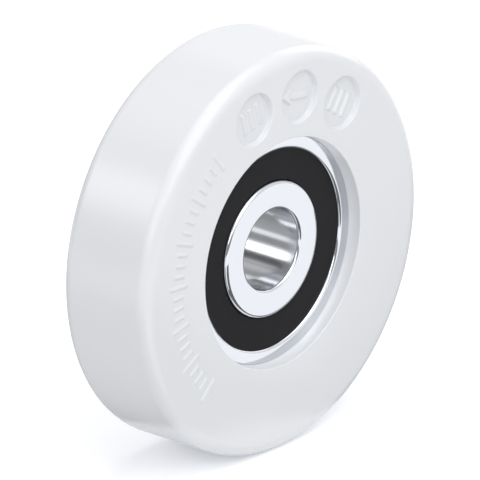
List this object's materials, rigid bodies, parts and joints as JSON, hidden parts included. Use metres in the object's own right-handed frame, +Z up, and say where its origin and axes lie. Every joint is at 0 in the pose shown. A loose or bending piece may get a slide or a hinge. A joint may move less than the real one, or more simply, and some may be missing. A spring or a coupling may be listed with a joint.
{
  "type": "guide roller",
  "caption": "Plain cylindrical guide roller: a white moulded roller body that turns on a sealed ball bearing with a through bore for its axle.",
  "frame": {"origin": "on the spin axis, at the middle of the roller's width, inside the bore", "axes": "+Y along the spin axis towards the rear face, so the front face looks along -Y; +Z up through the mould marks as the picture shows them"},
  "size_m": [0.075, 0.0202, 0.075],
  "materials": {
    "white_polyamide": "injection-moulded, fine satin",
    "bearing_steel": "ground and polished",
    "black_rubber": "moulded, matt",
    "cage_steel": "pressed sheet"
  },
  "bodies": {
    "inner_ring": {"bearing_inner_ring": "bearing_steel"},
    "roller": {"roller_body": "white_polyamide", "bearing_outer_ring": "bearing_steel", "front_seal": "black_rubber", "rear_seal": "black_rubber"},
    "cage": {"cage_front_half": "cage_steel", "cage_rear_half": "cage_steel", "cage_rivets": "cage_steel"},
    "ball_1": {"ball_1": "bearing_steel"},
    "ball_2": {"ball_2": "bearing_steel"},
    "ball_3": {"ball_3": "bearing_steel"},
    "ball_4": {"ball_4": "bearing_steel"},
    "ball_5": {"ball_5": "bearing_steel"},
    "ball_6": {"ball_6": "bearing_steel"},
    "ball_7": {"ball_7": "bearing_steel"}
  },
  "joints": [
    {"name": "roller_spin", "type": "hinge", "parent": "inner_ring", "child": "roller", "pos_m": [0, 0, 0], "axis": [0, 1, 0], "continuous": true},
    {"name": "cage_spin", "type": "hinge", "parent": "inner_ring", "child": "cage", "pos_m": [0, -0.001, 0], "axis": [0, 1, 0], "continuous": true},
    {"name": "ball_1_spin", "type": "hinge", "parent": "cage", "child": "ball_1", "pos_m": [0, -0.001, 0.01425], "axis": [0, 1, 0], "continuous": true},
    {"name": "ball_2_spin", "type": "hinge", "parent": "cage", "child": "ball_2", "pos_m": [0.01114, -0.001, 0.00888], "axis": [0, 1, 0], "continuous": true},
    {"name": "ball_3_spin", "type": "hinge", "parent": "cage", "child": "ball_3", "pos_m": [0.01389, -0.001, -0.00317], "axis": [0, 1, 0], "continuous": true},
    {"name": "ball_4_spin", "type": "hinge", "parent": "cage", "child": "ball_4", "pos_m": [0.00618, -0.001, -0.01284], "axis": [0, 1, 0], "continuous": true},
    {"name": "ball_5_spin", "type": "hinge", "parent": "cage", "child": "ball_5", "pos_m": [-0.00618, -0.001, -0.01284], "axis": [0, 1, 0], "continuous": true},
    {"name": "ball_6_spin", "type": "hinge", "parent": "cage", "child": "ball_6", "pos_m": [-0.01389, -0.001, -0.00317], "axis": [0, 1, 0], "continuous": true},
    {"name": "ball_7_spin", "type": "hinge", "parent": "cage", "child": "ball_7", "pos_m": [-0.01114, -0.001, 0.00888], "axis": [0, 1, 0], "continuous": true}
  ],
  "couplings": [
    {"joint": "cage_spin", "follows": "roller_spin", "ratio": 0.63926},
    {"joint": "ball_1_spin", "follows": "roller_spin", "ratio": 1.6559},
    {"joint": "ball_2_spin", "follows": "roller_spin", "ratio": 1.6559},
    {"joint": "ball_3_spin", "follows": "roller_spin", "ratio": 1.6559},
    {"joint": "ball_4_spin", "follows": "roller_spin", "ratio": 1.6559},
    {"joint": "ball_5_spin", "follows": "roller_spin", "ratio": 1.6559},
    {"joint": "ball_6_spin", "follows": "roller_spin", "ratio": 1.6559},
    {"joint": "ball_7_spin", "follows": "roller_spin", "ratio": 1.6559}
  ]
}
